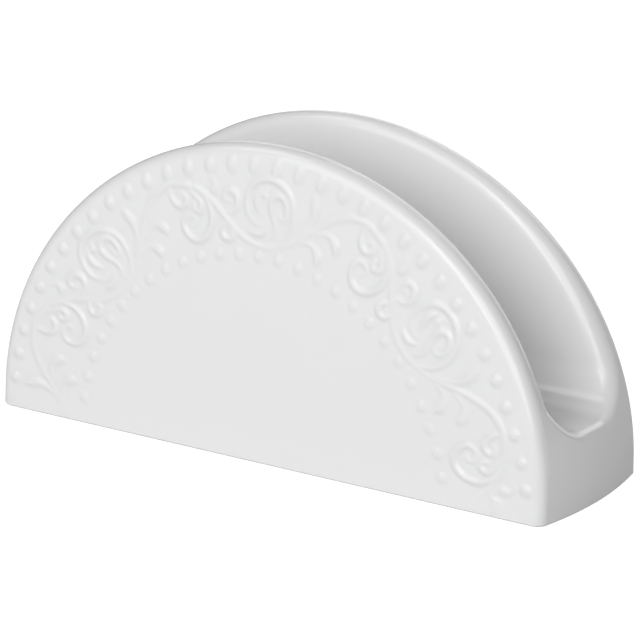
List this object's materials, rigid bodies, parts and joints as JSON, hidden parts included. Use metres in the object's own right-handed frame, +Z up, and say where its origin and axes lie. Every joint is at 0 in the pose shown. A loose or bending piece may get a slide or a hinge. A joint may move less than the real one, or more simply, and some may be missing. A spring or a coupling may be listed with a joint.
{
  "type": "napkin holder",
  "caption": "Glazed porcelain napkin holder: two half-round walls with a moulded scroll and bead band, on one foot, with a slot between them open at the top and ends.",
  "frame": {"origin": "middle of the footprint, on the surface that the holder stands on", "axes": "+X along the length, +Y from the front wall to the back wall, +Z up"},
  "size_m": [0.16, 0.048, 0.0785],
  "materials": {
    "glaze": "white glossy glaze over white porcelain",
    "biscuit": "bare unglazed porcelain, matt"
  },
  "bodies": {
    "root": {"front_wall": "glaze", "back_wall": "glaze", "slot_trough": "glaze", "left_end": "glaze", "right_end": "glaze", "base_panel": "glaze", "foot_ring": "biscuit", "front_outer_beads": "glaze", "front_inner_beads": "glaze", "front_scroll_stems": "glaze", "front_scroll_curls": "glaze", "front_scroll_leaves": "glaze", "back_outer_beads": "glaze", "back_inner_beads": "glaze", "back_scroll_stems": "glaze", "back_scroll_curls": "glaze", "back_scroll_leaves": "glaze"}
  },
  "joints": []
}
